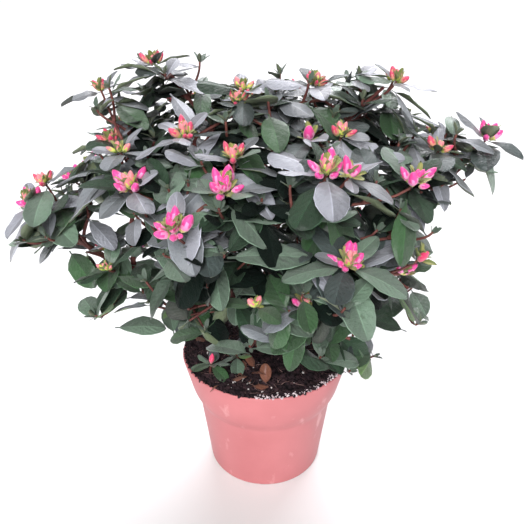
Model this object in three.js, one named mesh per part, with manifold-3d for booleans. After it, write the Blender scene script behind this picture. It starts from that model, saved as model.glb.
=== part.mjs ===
// A young azalea in bud, standing in the plastic pot that it was grown in.
// A short flared trunk forks just above the soil into main stems, the stems
// carry side boughs, and stems and boughs end in separate masses of leaves.
// Millimetres, +Z up. The origin is the middle of the pot's flat underside.

import * as THREE from "three";
import { mergeVertices } from "three/addons/utils/BufferGeometryUtils.js";
import Module from "manifold-3d";

const wasm = await Module();
wasm.setup();

// Clearance between any two pieces that rest on each other.
const SEAT = 0.3;
const ROUND_SIDES = 24;
const UP = new THREE.Vector3(0, 0, 1);

// Pot: a tapered cup with a shoulder under its wider upper band.
const POT_HEIGHT = 95;
const RIM_RADIUS = 61;
const BASE_RADIUS = 43.3;
const BASE_CORNER = 3;
const POT_WALL = 1.8;
const POT_FLOOR = 2.2;
const SHOULDER_FOOT = 58;
const SHOULDER_TOP = 70;
// [height, outside radius] up the wall from the corner to the rim.
const WALL_LEVELS = [
  [BASE_CORNER, BASE_RADIUS],
  [SHOULDER_FOOT, 50],
  [SHOULDER_FOOT + 5, 52.4],
  [SHOULDER_TOP, 55.3],
  [POT_HEIGHT, RIM_RADIUS],
];

// Soil: fills the pot and is heaped a little round the trunk.
const SOIL_EDGE_DROP = 2.5;
const SOIL_TOP = 97.5;
const SOIL_FLAT_RADIUS = 16;
const SOIL_SLOPE_RADIUS = 44;

// Trunk: flared at the soil, slightly leaning, forked at its top.
const TRUNK_FOOT = SOIL_TOP + SEAT;
const TRUNK_HEIGHT = 17;
const TRUNK_RADIUS = 5.2;
const TRUNK_FLARE = 4.2;
const TRUNK_LEAN = new THREE.Vector3(-2.5, 1.5, 0);
// How far up the trunk its stems part, from 0 to 1.
const FORK_ALONG = 0.85;

// Limbs taper from the first radius to the second.
const STEM_RADII = [3.3, 1.3];
const BOUGH_RADII = [1.7, 1];
const LIMB_SIDES = 5;
const STEM_RINGS = 7;
const BOUGH_RINGS = 5;
// How far a limb heads outwards before it turns up, from 0 to 1.
const STEM_SWEEP = 0.6;
const BOUGH_SWEEP = 0.5;

// Main stems: the mass of leaves that each one ends in.
const STEMS = {
  left: "far_left",
  front_left: "front_left",
  front_right: "front_right",
  right: "far_right",
  back_right: "back_middle_right",
  back_left: "back_middle_left",
  middle: "back_top",
};

// Side boughs: the stem that each one leaves, where along it, and the mass
// of leaves that it ends in.
const BOUGHS = [
  ["left", 0.5, "left_low"],
  ["left", 0.62, "left_shoulder"],
  ["front_left", 0.66, "front_left_high"],
  ["front_right", 0.3, "low_right"],
  ["front_right", 0.6, "front_right_high"],
  ["right", 0.5, "right_low"],
  ["back_right", 0.4, "back_low_right"],
  ["back_right", 0.62, "back_right_high"],
  ["back_left", 0.4, "back_low_left"],
  ["back_left", 0.62, "back_left_high"],
  ["middle", 0.3, "back_low"],
  ["middle", 0.55, "top_left"],
  ["middle", 0.64, "top_right"],
];

// Masses of leaves, tier by tier. A tier shares its thickness, and the tilt
// of its masses from the vertical. Each row is the bearing, reach and height
// of the mass's outer face, and its width.
const TIERS = [
  {
    thickness: 27,
    tilt: 12,
    masses: {
      top_left: [180, 66, 304, 60],
      upper_left: [183, 92, 290, 52],
      top_front: [250, 36, 287, 54],
      top_middle: [328, 30, 295, 47],
      top_right: [356, 70, 294, 60],
      back_top: [82, 44, 281, 64],
      back_top_left: [137, 67, 279, 64],
      back_top_right: [38, 80, 277, 62],
    },
  },
  {
    thickness: 27,
    tilt: 34,
    masses: {
      left_shoulder: [208, 95, 263, 58],
      front_left_high: [234, 76, 270, 54],
      middle: [303, 60, 270, 50],
      front_right_high: [287, 92, 257, 62],
      right_shoulder: [340, 103, 256, 54],
      far_right: [355, 135, 258, 57],
      back_right_high: [22, 114, 256, 64],
      back_high: [88, 92, 264, 68],
      back_left_high: [157, 110, 257, 64],
    },
  },
  {
    thickness: 27,
    tilt: 46,
    masses: {
      far_left: [193, 144, 218, 76],
      left_front: [229, 104, 245, 56],
      front_left: [248, 106, 241, 62],
      front_middle: [258, 88, 254, 48],
      right_front: [315, 109, 245, 58],
      front_right: [291, 112, 214, 70],
      right_side: [320, 97, 208, 58],
      back_right: [18, 118, 224, 60],
      back_middle_right: [57, 120, 224, 68],
      back_middle_left: [118, 118, 226, 68],
      back_left: [165, 140, 222, 62],
    },
  },
  {
    thickness: 26,
    tilt: 58,
    masses: {
      left_low: [200, 110, 184, 70],
      front_left_low: [233, 95, 190, 66],
      front_low: [275, 82, 174, 60],
      low_right: [318, 82, 140, 66],
      right_low: [346, 108, 162, 58],
      low_left: [216, 70, 158, 52],
      back_low_right: [35, 104, 166, 64],
      back_low: [92, 92, 172, 66],
      back_low_left: [148, 100, 168, 64],
    },
  },
];
const MASS_SIDES = 10;
const MASS_RINGS = 7;
const MASS_ROUGHNESS = 0.13;

const COLOURS = {
  pot: new THREE.MeshStandardMaterial({ color: 0xe08d8a, roughness: 0.55, metalness: 0 }),
  soil: new THREE.MeshStandardMaterial({ color: 0x2b1d1a, roughness: 0.95, metalness: 0 }),
  bark: new THREE.MeshStandardMaterial({ color: 0x6d4233, roughness: 0.8, metalness: 0 }),
  leaves: new THREE.MeshStandardMaterial({ color: 0x4c6154, roughness: 0.6, metalness: 0 }),
};

// A point at a bearing and reach from the pot's axis, at a height.
function place(bearing, reach, height) {
  const turn = THREE.MathUtils.degToRad(bearing);
  return new THREE.Vector3(reach * Math.cos(turn), reach * Math.sin(turn), height);
}

// The solid of a closed geometry.
function solidOf(geometry) {
  const bare = geometry.clone();
  bare.deleteAttribute("normal");
  bare.deleteAttribute("uv");
  const merged = mergeVertices(bare, 1e-4);
  const mesh = new wasm.Mesh({
    numProp: 3,
    vertProperties: new Float32Array(merged.attributes.position.array),
    triVerts: new Uint32Array(merged.index.array),
  });
  return new wasm.Manifold(mesh);
}

function geometryOf(solid) {
  const { vertProperties, triVerts, numProp } = solid.getMesh();
  const geometry = new THREE.BufferGeometry();
  geometry.setAttribute("position", new THREE.BufferAttribute(new Float32Array(vertProperties), numProp));
  geometry.setIndex(new THREE.BufferAttribute(new Uint32Array(triVerts), 1));
  geometry.computeVertexNormals();
  return geometry;
}

// The biggest separate body of a solid that cuts may have left in several.
function biggest(solid) {
  return solid.decompose().reduce((kept, piece) => (piece.volume() > kept.volume() ? piece : kept));
}

// A lathe turned round the Z axis instead of the Y axis.
function turned(profile) {
  return new THREE.LatheGeometry(profile, ROUND_SIDES).rotateX(Math.PI / 2);
}

// The pot's outside, moved inwards by an inset, from one height to another.
function wallProfile(inset, from, to) {
  const levels = WALL_LEVELS.filter(([height]) => height > from && height < to);
  return [from, ...levels.map(([height]) => height), to].map(
    (height) => new THREE.Vector2(wallRadius(height) - inset, height),
  );
}

function wallRadius(height) {
  const above = Math.max(1, WALL_LEVELS.findIndex(([level]) => level >= height));
  const [low, lowRadius] = WALL_LEVELS[above - 1];
  const [high, highRadius] = WALL_LEVELS[above];
  return THREE.MathUtils.mapLinear(height, low, high, lowRadius, highRadius);
}

function potGeometry() {
  const outside = [
    new THREE.Vector2(0, 0),
    new THREE.Vector2(BASE_RADIUS - BASE_CORNER, 0),
    new THREE.Vector2(BASE_RADIUS - 0.3 * BASE_CORNER, 0.3 * BASE_CORNER),
    ...wallProfile(0, BASE_CORNER, POT_HEIGHT),
  ];
  const inside = wallProfile(POT_WALL, POT_FLOOR, POT_HEIGHT).reverse();
  return turned([...outside, ...inside, new THREE.Vector2(0, POT_FLOOR)]);
}

function soilGeometry() {
  const edge = POT_HEIGHT - SOIL_EDGE_DROP;
  const side = wallProfile(POT_WALL + SEAT, POT_FLOOR + SEAT, edge);
  const rise = SOIL_TOP - edge;
  return turned([
    new THREE.Vector2(0, POT_FLOOR + SEAT),
    ...side,
    new THREE.Vector2(SOIL_SLOPE_RADIUS, edge + 0.5 * rise),
    new THREE.Vector2(SOIL_FLAT_RADIUS, SOIL_TOP),
    new THREE.Vector2(0, SOIL_TOP),
  ]);
}

// A limb: a round tapered bar bent along a path. radiusAt gives the radius
// from 0 at the root to 1 at the tip.
function limbGeometry(path, rings, radiusAt) {
  const profile = [new THREE.Vector2(0, 0)];
  for (let ring = 0; ring <= rings; ring += 1) {
    profile.push(new THREE.Vector2(radiusAt(ring / rings), ring));
  }
  profile.push(new THREE.Vector2(0, rings));
  const geometry = new THREE.LatheGeometry(profile, LIMB_SIDES);
  const frames = path.computeFrenetFrames(rings);
  const position = geometry.attributes.position;
  for (let i = 0; i < position.count; i += 1) {
    const ring = Math.round(position.getY(i));
    const point = path.getPointAt(ring / rings);
    point.addScaledVector(frames.normals[ring], position.getX(i));
    point.addScaledVector(frames.binormals[ring], -position.getZ(i));
    position.setXYZ(i, point.x, point.y, point.z);
  }
  return geometry;
}

// A path that heads outwards first and then turns up to its end.
function sweptPath(start, end, sweep) {
  const bend = new THREE.Vector3(
    THREE.MathUtils.lerp(start.x, end.x, sweep),
    THREE.MathUtils.lerp(start.y, end.y, sweep),
    THREE.MathUtils.lerp(start.z, end.z, 1 - sweep),
  );
  return new THREE.QuadraticBezierCurve3(start, bend, end);
}

function trunkPath() {
  const foot = new THREE.Vector3(0, 0, TRUNK_FOOT);
  const middle = foot.clone().addScaledVector(UP, TRUNK_HEIGHT / 2);
  const top = foot.clone().addScaledVector(UP, TRUNK_HEIGHT).add(TRUNK_LEAN);
  return new THREE.QuadraticBezierCurve3(foot, middle, top);
}

function trunkRadius(along) {
  return TRUNK_RADIUS - along + TRUNK_FLARE * (1 - along) ** 4;
}

function tapered([root, tip], extra) {
  return (along) => THREE.MathUtils.lerp(root, tip, along) + extra;
}

// Every mass of leaves as its name, middle, axis, width, thickness and seed.
function foliageRows() {
  const rows = [];
  for (const { thickness, tilt, masses } of TIERS) {
    for (const [name, [bearing, reach, height, width]] of Object.entries(masses)) {
      const lean = THREE.MathUtils.degToRad(tilt);
      const axis = place(bearing, Math.sin(lean), Math.cos(lean));
      const top = place(bearing, reach, height);
      const middle = top.clone().addScaledVector(axis, -thickness / 2);
      rows.push({ name, middle, axis, width, thickness, seed: rows.length + 1 });
    }
  }
  return rows;
}

// An uneven cushion: a flattened ball whose radius swells and sinks.
function cushion({ middle, axis, width, thickness, seed }, swell) {
  const geometry = new THREE.SphereGeometry(1, MASS_SIDES, MASS_RINGS).rotateX(Math.PI / 2);
  const position = geometry.attributes.position;
  const size = new THREE.Vector3(width / 2, width / 2, thickness / 2).addScalar(swell);
  const turn = new THREE.Quaternion().setFromUnitVectors(UP, axis);
  const point = new THREE.Vector3();
  for (let i = 0; i < position.count; i += 1) {
    point.fromBufferAttribute(position, i);
    const wave = Math.sin(4.1 * point.x + 1.7 * seed) + Math.sin(4.6 * point.y - 2.3 * seed);
    const ripple = Math.sin(3.3 * point.z + 5.2 * point.x * point.y + seed);
    point.multiply(size).multiplyScalar(1 + MASS_ROUGHNESS * (0.35 * wave + 0.3 * ripple));
    point.applyQuaternion(turn).add(middle);
    position.setXYZ(i, point.x, point.y, point.z);
  }
  return solidOf(geometry);
}

// A mass cut back halfway towards each neighbour that it would run into.
function parted(row, neighbours, swell) {
  let solid = cushion(row, swell);
  for (const other of neighbours) {
    const away = row.middle.clone().sub(other.middle).normalize();
    const halfway = row.middle.clone().add(other.middle).multiplyScalar(0.5);
    solid = solid.trimByPlane(away.toArray(), away.dot(halfway) + SEAT - swell);
  }
  return biggest(solid);
}

function overlaps(one, other) {
  return one.intersect(other).volume() > 0;
}

// Every mass as its solid, and the same solid swollen by the clearance.
function makeFoliage() {
  const rows = foliageRows();
  const whole = rows.map((row) => cushion(row, SEAT));
  const foliage = {};
  rows.forEach((row, i) => {
    const neighbours = rows.filter((_, j) => j !== i && overlaps(whole[i], whole[j]));
    foliage[row.name] = {
      middle: row.middle,
      solid: parted(row, neighbours, 0),
      swollen: parted(row, neighbours, SEAT),
    };
  });
  return foliage;
}

// A limb as its path, its solid, and the same solid swollen by the clearance.
function makeLimb(path, rings, radiusAt) {
  return {
    path,
    solid: solidOf(limbGeometry(path, rings, radiusAt(0))),
    swollen: solidOf(limbGeometry(path, rings, radiusAt(SEAT))),
  };
}

// A limb cut off at the surface of the mass of leaves that it ends in.
function endedAt(mass, { path, solid, swollen }) {
  return { path, solid: solid.subtract(mass.swollen), swollen: swollen.subtract(mass.solid) };
}

// The trunk, the main stems and the side boughs, each cut clear of the ones
// before it and ending at the surface of its own mass of leaves.
function makeLimbs(foliage) {
  const trunk = makeLimb(trunkPath(), BOUGH_RINGS, (extra) => (along) => trunkRadius(along) + extra);
  const limbs = { trunk };
  const add = (name, limb) => {
    for (const earlier of Object.values(limbs)) {
      limb.solid = limb.solid.subtract(earlier.swollen);
    }
    limbs[name] = limb;
  };
  const fork = trunk.path.getPointAt(FORK_ALONG);
  for (const [name, mass] of Object.entries(STEMS)) {
    const path = sweptPath(fork, foliage[mass].middle, STEM_SWEEP);
    const stem = makeLimb(path, STEM_RINGS, (extra) => tapered(STEM_RADII, extra));
    add(`stem_${name}`, endedAt(foliage[mass], stem));
  }
  for (const [stem, along, mass] of BOUGHS) {
    const start = limbs[`stem_${stem}`].path.getPointAt(along);
    const path = sweptPath(start, foliage[mass].middle, BOUGH_SWEEP);
    const bough = makeLimb(path, BOUGH_RINGS, (extra) => tapered(BOUGH_RADII, extra));
    add(`bough_${mass}`, endedAt(foliage[mass], bough));
  }
  for (const limb of Object.values(limbs)) {
    limb.solid = biggest(limb.solid);
  }
  return limbs;
}

function named(name, geometry, material) {
  const mesh = new THREE.Mesh(geometry, material.clone());
  mesh.name = name;
  return mesh;
}

const foliage = makeFoliage();
const limbs = makeLimbs(foliage);

const azalea = new THREE.Group();
azalea.add(named("pot", potGeometry(), COLOURS.pot));
azalea.add(named("soil", soilGeometry(), COLOURS.soil));
for (const [name, limb] of Object.entries(limbs)) {
  azalea.add(named(name, geometryOf(limb.solid), COLOURS.bark));
}
for (const [name, mass] of Object.entries(foliage)) {
  let solid = mass.solid;
  for (const limb of Object.values(limbs)) {
    solid = solid.subtract(limb.swollen);
  }
  azalea.add(named(`leaves_${name}`, geometryOf(biggest(solid)), COLOURS.leaves));
}

export default azalea;
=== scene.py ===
# The looks of a young azalea in bud, in the plastic pot that it was grown in.
# Bark-covered limbs follow the frame's limbs. In each mass of leaves, twigs grow on from
# the limbs to shoots, and each shoot ends in a whorl of leaves, with or without buds.
import math
from collections import namedtuple

import bmesh
import bpy
import numpy as np
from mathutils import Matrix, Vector, noise
from mathutils.bvhtree import BVHTree


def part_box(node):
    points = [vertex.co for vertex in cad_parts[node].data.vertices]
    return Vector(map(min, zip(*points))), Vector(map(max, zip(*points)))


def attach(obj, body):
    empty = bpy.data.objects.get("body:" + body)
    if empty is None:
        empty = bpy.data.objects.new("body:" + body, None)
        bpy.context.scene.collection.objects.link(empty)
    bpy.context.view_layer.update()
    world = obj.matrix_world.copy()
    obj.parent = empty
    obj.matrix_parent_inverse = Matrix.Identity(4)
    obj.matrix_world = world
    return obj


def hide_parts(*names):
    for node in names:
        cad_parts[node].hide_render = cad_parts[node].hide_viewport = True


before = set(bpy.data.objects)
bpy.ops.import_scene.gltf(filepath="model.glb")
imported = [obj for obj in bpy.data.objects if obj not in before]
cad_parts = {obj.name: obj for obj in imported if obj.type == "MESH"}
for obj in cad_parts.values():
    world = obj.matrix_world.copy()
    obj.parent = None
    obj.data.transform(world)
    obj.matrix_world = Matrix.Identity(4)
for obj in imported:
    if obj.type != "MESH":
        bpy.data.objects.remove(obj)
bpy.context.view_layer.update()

MM = 0.001
SEED = 21
# Where each kind of growth starts its own stream of random draws.
STREAMS = {
    "masses": 0,
    "limbs": 100,
    "core": 200,
    "clusters": 300,
    "sprouts": 400,
    "soil": 900,
    "bark": 901,
}
UP = np.array([0.0, 0.0, 1.0])
BACK = np.array([0.0, 1.0, 0.0])
GOLDEN_ANGLE = 137.5

# ---------------------------------------------------------------- sizes

POT_SIDES = 128
POT_WALL = 1.7 * MM
POT_LIP = 0.9 * MM
POT_CORNER = 2.6 * MM
# Up the wall: share of the pot's height, and outside radius as a share of the rim's.
POT_WALL_LEVELS = [(0.6, 0.818), (0.622, 0.824), (0.655, 0.852), (0.7, 0.886), (0.737, 0.906)]
# The foot's radius as a share of the rim's, and the flat part of the underside as a share of it.
POT_FOOT_SHARE = 0.71
POT_FLAT_SHARE = 0.8

SOIL_RINGS = 30
# The soil's edge and heaped middle lie this far below the highest point that it may have.
SOIL_EDGE_DROP = 3 * MM
SOIL_TOP_DROP = 0.5 * MM
# The gap between the soil and the pot, and how near the edge loose pieces lie.
SOIL_GAP = 0.4 * MM
SOIL_REACH = 0.985
SOIL_LUMP = 1.7 * MM
LUMPS_PER_METRE = 140
# The noise of the soil's lumps and of the bark's ridges: roughness, step between octaves, and
# their number. Then how close the ridges are, round a limb and along it.
LUMP_NOISE = (0.8, 2.1, 4)
RIDGE_NOISE = (0.9, 2.0, 3)
RIDGES_ROUND = 2.2
RIDGES_ALONG = 30
# What lies on the soil: how many pieces, and their least and greatest sizes in millimetres.
CRUMBS = 2400
CRUMB_SIZES = (0.7, 2.1)
PERLITE = 90
PERLITE_SIZES = (0.5, 1.15)
FIBRES = 320
FIBRE_LENGTHS = (4, 13)
FIBRE_RADII = (0.14, 0.32)
FALLEN = 16
FALLEN_SIZES = (6, 13)
# Crumbs heaped along the rim all round, and pale grains spilled over a stretch of it.
RIM_CRUMBS = 800
RIM_CRUMB_SIZES = (0.5, 1.4)
SPILL_GRAINS = 170
SPILL_SIZES = (0.3, 0.9)
SPILL_BEARINGS = (262, 335)
SPILL_WIDTHS = (0.2, 4.5)
# Flakes of bark that lie in front of the trunk: their number, sizes, bearings and reaches.
BARK_FLAKES = 6
FLAKE_SIZES = (10, 17)
FLAKE_BEARINGS = (232, 285)
FLAKE_REACHES = (24 * MM, 50 * MM)
FLAKE_LIFT = 1.2 * MM

TRUNK_LEAN = np.array([-2.5, 1.5, 0.0]) * MM
TRUNK_RADIUS = 5.2 * MM
TRUNK_TAPER = 1 * MM
TRUNK_FLARE = 4.2 * MM
FORK_ALONG = 0.85
STEM_RADII = (3.3 * MM, 1.3 * MM)
BOUGH_RADII = (1.7 * MM, 1.0 * MM)
TWIG_RADII = (0.95 * MM, 0.65 * MM)
STEM_SWEEP = 0.6
BOUGH_SWEEP = 0.5
# How far limbs wander off their sweep, and the two waves along them that make it.
LIMB_WANDER = 1.3 * MM
LIMB_WAVES = (9, 17)
LIMB_STEPS = 44
LIMB_SIDES = 12
TRUNK_RELIEF = 0.22
LIMB_RELIEF = 0.16
TWIG_STEPS = 9
TWIG_SIDES = 7

LEAF_LENGTH = 34 * MM
LEAF_STALK = 0.1
LEAF_THICKNESS = 0.012
LEAF_ROWS = 9
SCALE_ROWS = 5
# Across a leaf, from edge to edge: margin, half, midrib, half, margin.
LEAF_COLUMNS = [-1, -0.95, -0.045, 0.045, 0.95, 1]
BUD_LENGTH = 11 * MM
BUD_SIDES = 10
MIDDLE_BUDS = 3
# How far the whorl of leaves sits below the tip of its shoot. In millimetres: how much lower
# a leaf's foot is for each degree that it hangs, and how far its foot stands from the axis.
WHORL_DROP = 3.5 * MM
HANG_DROP = 0.35
FOOT_GAP = 0.9

# Main stems, each with the mass of leaves that it ends in.
STEMS = {
    "left": "far_left",
    "front_left": "front_left",
    "front_right": "front_right",
    "right": "far_right",
    "back_right": "back_middle_right",
    "back_left": "back_middle_left",
    "middle": "back_top",
}
# Side boughs: the stem that each one leaves, where along it, and its mass of leaves.
BOUGHS = [
    ("left", 0.5, "left_low"),
    ("left", 0.62, "left_shoulder"),
    ("front_left", 0.66, "front_left_high"),
    ("front_right", 0.3, "low_right"),
    ("front_right", 0.6, "front_right_high"),
    ("right", 0.5, "right_low"),
    ("back_right", 0.4, "back_low_right"),
    ("back_right", 0.62, "back_right_high"),
    ("back_left", 0.4, "back_low_left"),
    ("back_left", 0.62, "back_left_high"),
    ("middle", 0.3, "back_low"),
    ("middle", 0.55, "top_left"),
    ("middle", 0.64, "top_right"),
]

# Spots in the box of a mass, as shares of the way from its middle to its faces: sideways to
# the right, outwards from the plant's middle, and up.
SPOTS = {
    "middle": (0.0, 0.3, 0.4),
    "left": (-0.5, 0.3, 0.3),
    "right": (0.5, 0.3, 0.3),
    "high": (0.0, 0.0, 0.8),
    "low": (0.0, 0.5, -0.4),
    "ahead": (0.0, 0.85, 0.1),
}
# The clusters of buds on the masses of the front: the spot, kind and number of buds of each.
# The masses of the back are not named here, and get seeded clusters.
CLUSTERS = {
    "top_left": [("middle", "coral", 6)],
    "upper_left": [("middle", "coral", 2)],
    "top_front": [("middle", "coral", 4), ("high", "young", 4)],
    "top_middle": [("middle", "coral", 6)],
    "top_right": [("middle", "coral", 5), ("right", "young", 3)],
    "left_shoulder": [("left", "coral", 6), ("right", "young", 3)],
    "front_left_high": [("middle", "coral", 6)],
    "middle": [("right", "coral", 3), ("left", "magenta", 1)],
    "front_right_high": [("middle", "magenta", 7), ("right", "magenta", 2)],
    "right_shoulder": [("middle", "coral", 3)],
    "far_right": [("middle", "ripe", 4)],
    "far_left": [("high", "coral", 4), ("middle", "magenta", 7)],
    "left_front": [("middle", "magenta", 5)],
    "front_left": [("ahead", "ripe", 8)],
    "front_middle": [("ahead", "ripe", 6), ("high", "coral", 4)],
    "right_front": [("middle", "ripe", 5)],
    "front_right": [("middle", "magenta", 8)],
    "right_side": [("ahead", "red", 1), ("low", "magenta", 2)],
    "left_low": [("left", "coral", 3), ("right", "young", 3)],
    "front_low": [("left", "young", 2), ("right", "magenta", 3)],
    "low_left": [("middle", "coral", 2)],
    "front_left_low": [],
    "low_right": [],
    "right_low": [],
}
# How large the leaves of each tier are, and its leafy sprigs without buds on each mass.
SHOOT_SIZES = {"top": 0.88, "upper": 0.95, "middle": 1.08, "low": 1.0}
SPRIGS = {"top": 5, "upper": 7, "middle": 7, "low": 5}
# Masses with thinner sprays than the rest of their tier, and their sprigs.
THIN_SPRIGS = {"far_right": 3, "right_side": 4, "left_low": 3}
WHORL_LEAVES = (9, 12)
SPRIG_LEAVES = 8
# A sprig with fewer leaves than this gets no twig of its own.
FEWEST_LEAVES = 2
# Sprigs whose tips lie below this height over the middle of their mass get the dark tints of
# painted shade.
SHADE_LEVEL = {"top": -2 * MM, "upper": 8 * MM, "middle": 2 * MM, "low": -9 * MM}
# Seeded points that are tried for a sprig's tip.
SPOT_TRIES = 24
SIDE_LEAF_GAP = 8 * MM
LIMB_LEAF_GAP = 4.5 * MM
# How far a leaf's tip may reach out of the masses of leaves.
LEAF_PROUD = 12 * MM
SPRIG_PROUD = 4 * MM
CORE_TWIGS = 17
CORE_LEAVES = 6
# Core leaves may stand this far out of the masses, but only this near the plant's axis.
CORE_PROUD = 26 * MM
CORE_RADIUS = 72 * MM
CORE_REACH = (12 * MM, 32 * MM)
# How far below a shoot's tip its twig looks for a fork.
FORK_DROP = 20 * MM
# How far leaves keep from the middle of a cluster of buds.
BUD_CLEARANCE = 12 * MM
# Sprouts from the soil: bearing, reach, size and number of buds.
SPROUTS = [(222, 50 * MM, 0.5, 1), (230, 32 * MM, 0.45, 0)]
SPROUT_HEIGHT = 10 * MM

# Tiers of the joined foliage: the lowest middle of a mass that counts in each.
TIERS = {"top": 0.268, "upper": 0.24, "middle": 0.196, "low": 0.0}

CAMERA_PLACE = (-0.0025, -0.3395, 0.3229)
CAMERA_DIP = 25
CAMERA_LENS = 37.17
SENSOR_WIDTH = 36
FLOOR_SIZE = 60.0
WHITE = {"Color": (1.0, 1.0, 1.0, 1.0)}
BACKDROP_LIGHT = 1.05
FILL_LIGHT = 0.07
# Softboxes: strength, spread in degrees, colour, and how each is turned from straight down.
SOFTBOXES = {
    "front_softbox": (4.4, 40, (1.0, 1.0, 1.0), (54, -14, 0)),
    "back_softbox": (4.4, 50, (0.96, 0.95, 1.0), (-44, 12, 0)),
}

# ---------------------------------------------------------------- colours


def srgb(red, green, blue):
    """A colour as it shows on a screen, from 0 to 255, as linear values."""

    def linear(value):
        share = value / 255
        return share / 12.92 if share <= 0.04045 else ((share + 0.055) / 1.055) ** 2.4

    return (linear(red), linear(green), linear(blue), 1.0)


# The tints of the leaves. Silver, and less so mist, are a dark green lightened by painted
# sheen, a painted reflection of the sky.
LEAF_TINTS = {
    "silver_painted_sheen": (150, 152, 162),
    "mist": (120, 125, 131),
    "sage": (98, 122, 102),
    "slate": (62, 74, 72),
    "moss": (42, 66, 46),
    "green": (48, 86, 46),
    "bright": (92, 130, 62),
    # Deep is painted shade: a near-black green for the leaves inside the crown.
    "deep_painted_shade": (14, 26, 21),
}
# How glossy and rough leaves are. The dark tints of the crown's inside are less glossy.
LEAF_GLOSS = 0.9
LEAF_ROUGHNESS = 0.4
LEAF_SHEEN = 0.15
SCALE_ROUGHNESS = 0.5
UNDERSIDE_ROUGHNESS = 0.6
DRY_ROUGHNESS = 0.7
ROUGHNESS_SPREAD = 0.16
DULL_LEAVES = {"deep_painted_shade": 0.1, "moss": 0.35, "slate": 0.45}
# How often each tint comes up in a seeded whorl, by how a leaf lies, and inside the crown.
# Leaves that lie open to the sky get more silver, the painted sheen.
TINT_SHARES = {
    "open": {"silver_painted_sheen": 0.36, "mist": 0.26, "slate": 0.16, "sage": 0.1, "moss": 0.12},
    "half_open": {"silver_painted_sheen": 0.17, "mist": 0.2, "sage": 0.25, "slate": 0.18, "moss": 0.2},
    "hanging": {"silver_painted_sheen": 0.14, "mist": 0.24, "sage": 0.34, "moss": 0.12, "green": 0.16},
    "low": {"mist": 0.1, "sage": 0.32, "moss": 0.18, "green": 0.32, "bright": 0.08},
    # The inside rows are painted shade: darker tints for leaves inside the crown, greener low down.
    "inside": {"deep_painted_shade": 0.58, "moss": 0.26, "slate": 0.16},
    "low_inside": {"deep_painted_shade": 0.08, "moss": 0.22, "slate": 0.12, "green": 0.28, "sage": 0.3},
}
LOW_CROWN = 120 * MM
# Leaves with painted shade below this height are greener than those above it.
LOW_SHADE = 185 * MM
# Beyond this reach from the plant's axis no leaf gets painted shade.
OPEN_REACH = 98 * MM
# The parts of a leaf's upper side, and how much paler than its tint each one is. The two
# halves are painted shade and painted light, one darker and one lighter as if lit from one side.
# The margin is paler partly as the leaf's own pale edge and partly as a painted highlight on it.
LEAF_PARTS = {"half": 0.92, "lit_half": 1.16, "rib": 1.3, "margin_and_highlight": 1.45}
UNDERSIDE = (124, 140, 100)
UNDERSIDE_DEEP = (50, 64, 46)
# The tints whose undersides are the deeper ones; for the deep tint this carries its painted
# shade to the underside.
DEEP_TINTS = ("deep_painted_shade", "moss", "green")
YOUNG_LEAF = (206, 208, 108)
YOUNG_LEAF_TIP = (160, 178, 80)
# The pot's two mottled tones, and its scuffs.
POT_TONES = [(182, 106, 109), (196, 120, 123)]
POT_SCUFF = (236, 190, 188)
FLOOR_TONE = (226, 226, 226)
# Buds, from their foot to their tip.
BUD_BANDS = {
    "magenta": [(214, 206, 120), (246, 146, 196), (230, 66, 148)],
    "coral": [(190, 196, 100), (216, 146, 122), (210, 66, 102)],
    "cream": [(150, 172, 62), (200, 206, 96), (226, 132, 138)],
    "red": [(236, 160, 150), (234, 96, 130), (226, 58, 106)],
}
# A cluster's outer buds, its middle ones, and their size.
BUD_CLUSTERS = {
    "magenta": ("magenta", "cream", 1.08),
    "ripe": ("magenta", "magenta", 1.12),
    "coral": ("coral", "cream", 0.86),
    "young": ("cream", "cream", 0.74),
    "red": ("red", "red", 1.15),
}

# ---------------------------------------------------------------- materials


def plain_material(name, colour, **values):
    """A material with its own shader values, as its tree and its shader."""
    made = bpy.data.materials.new(name)
    made.use_nodes = True
    shader = made.node_tree.nodes["Principled BSDF"]
    shader.inputs["Base Color"].default_value = srgb(*colour)
    for socket, value in values.items():
        shader.inputs[socket.replace("_", " ")].default_value = value
    return made, made.node_tree, shader


def add_node(tree, kind, inputs=(), **settings):
    """A node with its settings, its input values, and links from other nodes' outputs."""
    node = tree.nodes.new("ShaderNode" + kind)
    for name, value in settings.items():
        setattr(node, name, value)
    for socket, value in dict(inputs).items():
        if isinstance(value, bpy.types.NodeSocket):
            tree.links.new(value, node.inputs[socket])
        else:
            node.inputs[socket].default_value = value
    return node


def add_noise(tree, vector, scale, detail=3.0, stretch=None):
    """The value of a noise pattern, stretched along the axes where asked."""
    if stretch:
        vector = add_node(tree, "Mapping", {"Vector": vector, "Scale": stretch}).outputs["Vector"]
    pattern = add_node(tree, "TexNoise", {"Vector": vector, "Scale": scale, "Detail": detail})
    return pattern.outputs["Fac"]


def set_roughness(tree, shader, value, low, high):
    """Roughness that follows a pattern's value, from low to high."""
    spread = {"Value": value, "From Min": 0.3, "From Max": 0.7, "To Min": low, "To Max": high}
    tree.links.new(add_node(tree, "MapRange", spread).outputs["Result"], shader.inputs["Roughness"])


def set_relief(tree, shader, height, strength, distance):
    """A fine relief from a pattern's value."""
    bump = add_node(tree, "Bump", {"Height": height, "Strength": strength, "Distance": distance})
    tree.links.new(bump.outputs["Normal"], shader.inputs["Normal"])


def add_math(tree, operation, *values):
    """The result of a sum on plain values or other nodes' outputs."""
    return add_node(tree, "Math", enumerate(values), operation=operation).outputs["Value"]


def add_ramp(tree, value, colours, low=0.35, high=0.65):
    """A colour that goes from the first to the second as a pattern goes from low to high."""
    ramp = add_node(tree, "ValToRGB", {"Fac": value})
    for stop, place, colour in zip(ramp.color_ramp.elements, (low, high), colours):
        stop.position = place
        stop.color = colour
    return ramp.outputs["Color"]


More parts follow.
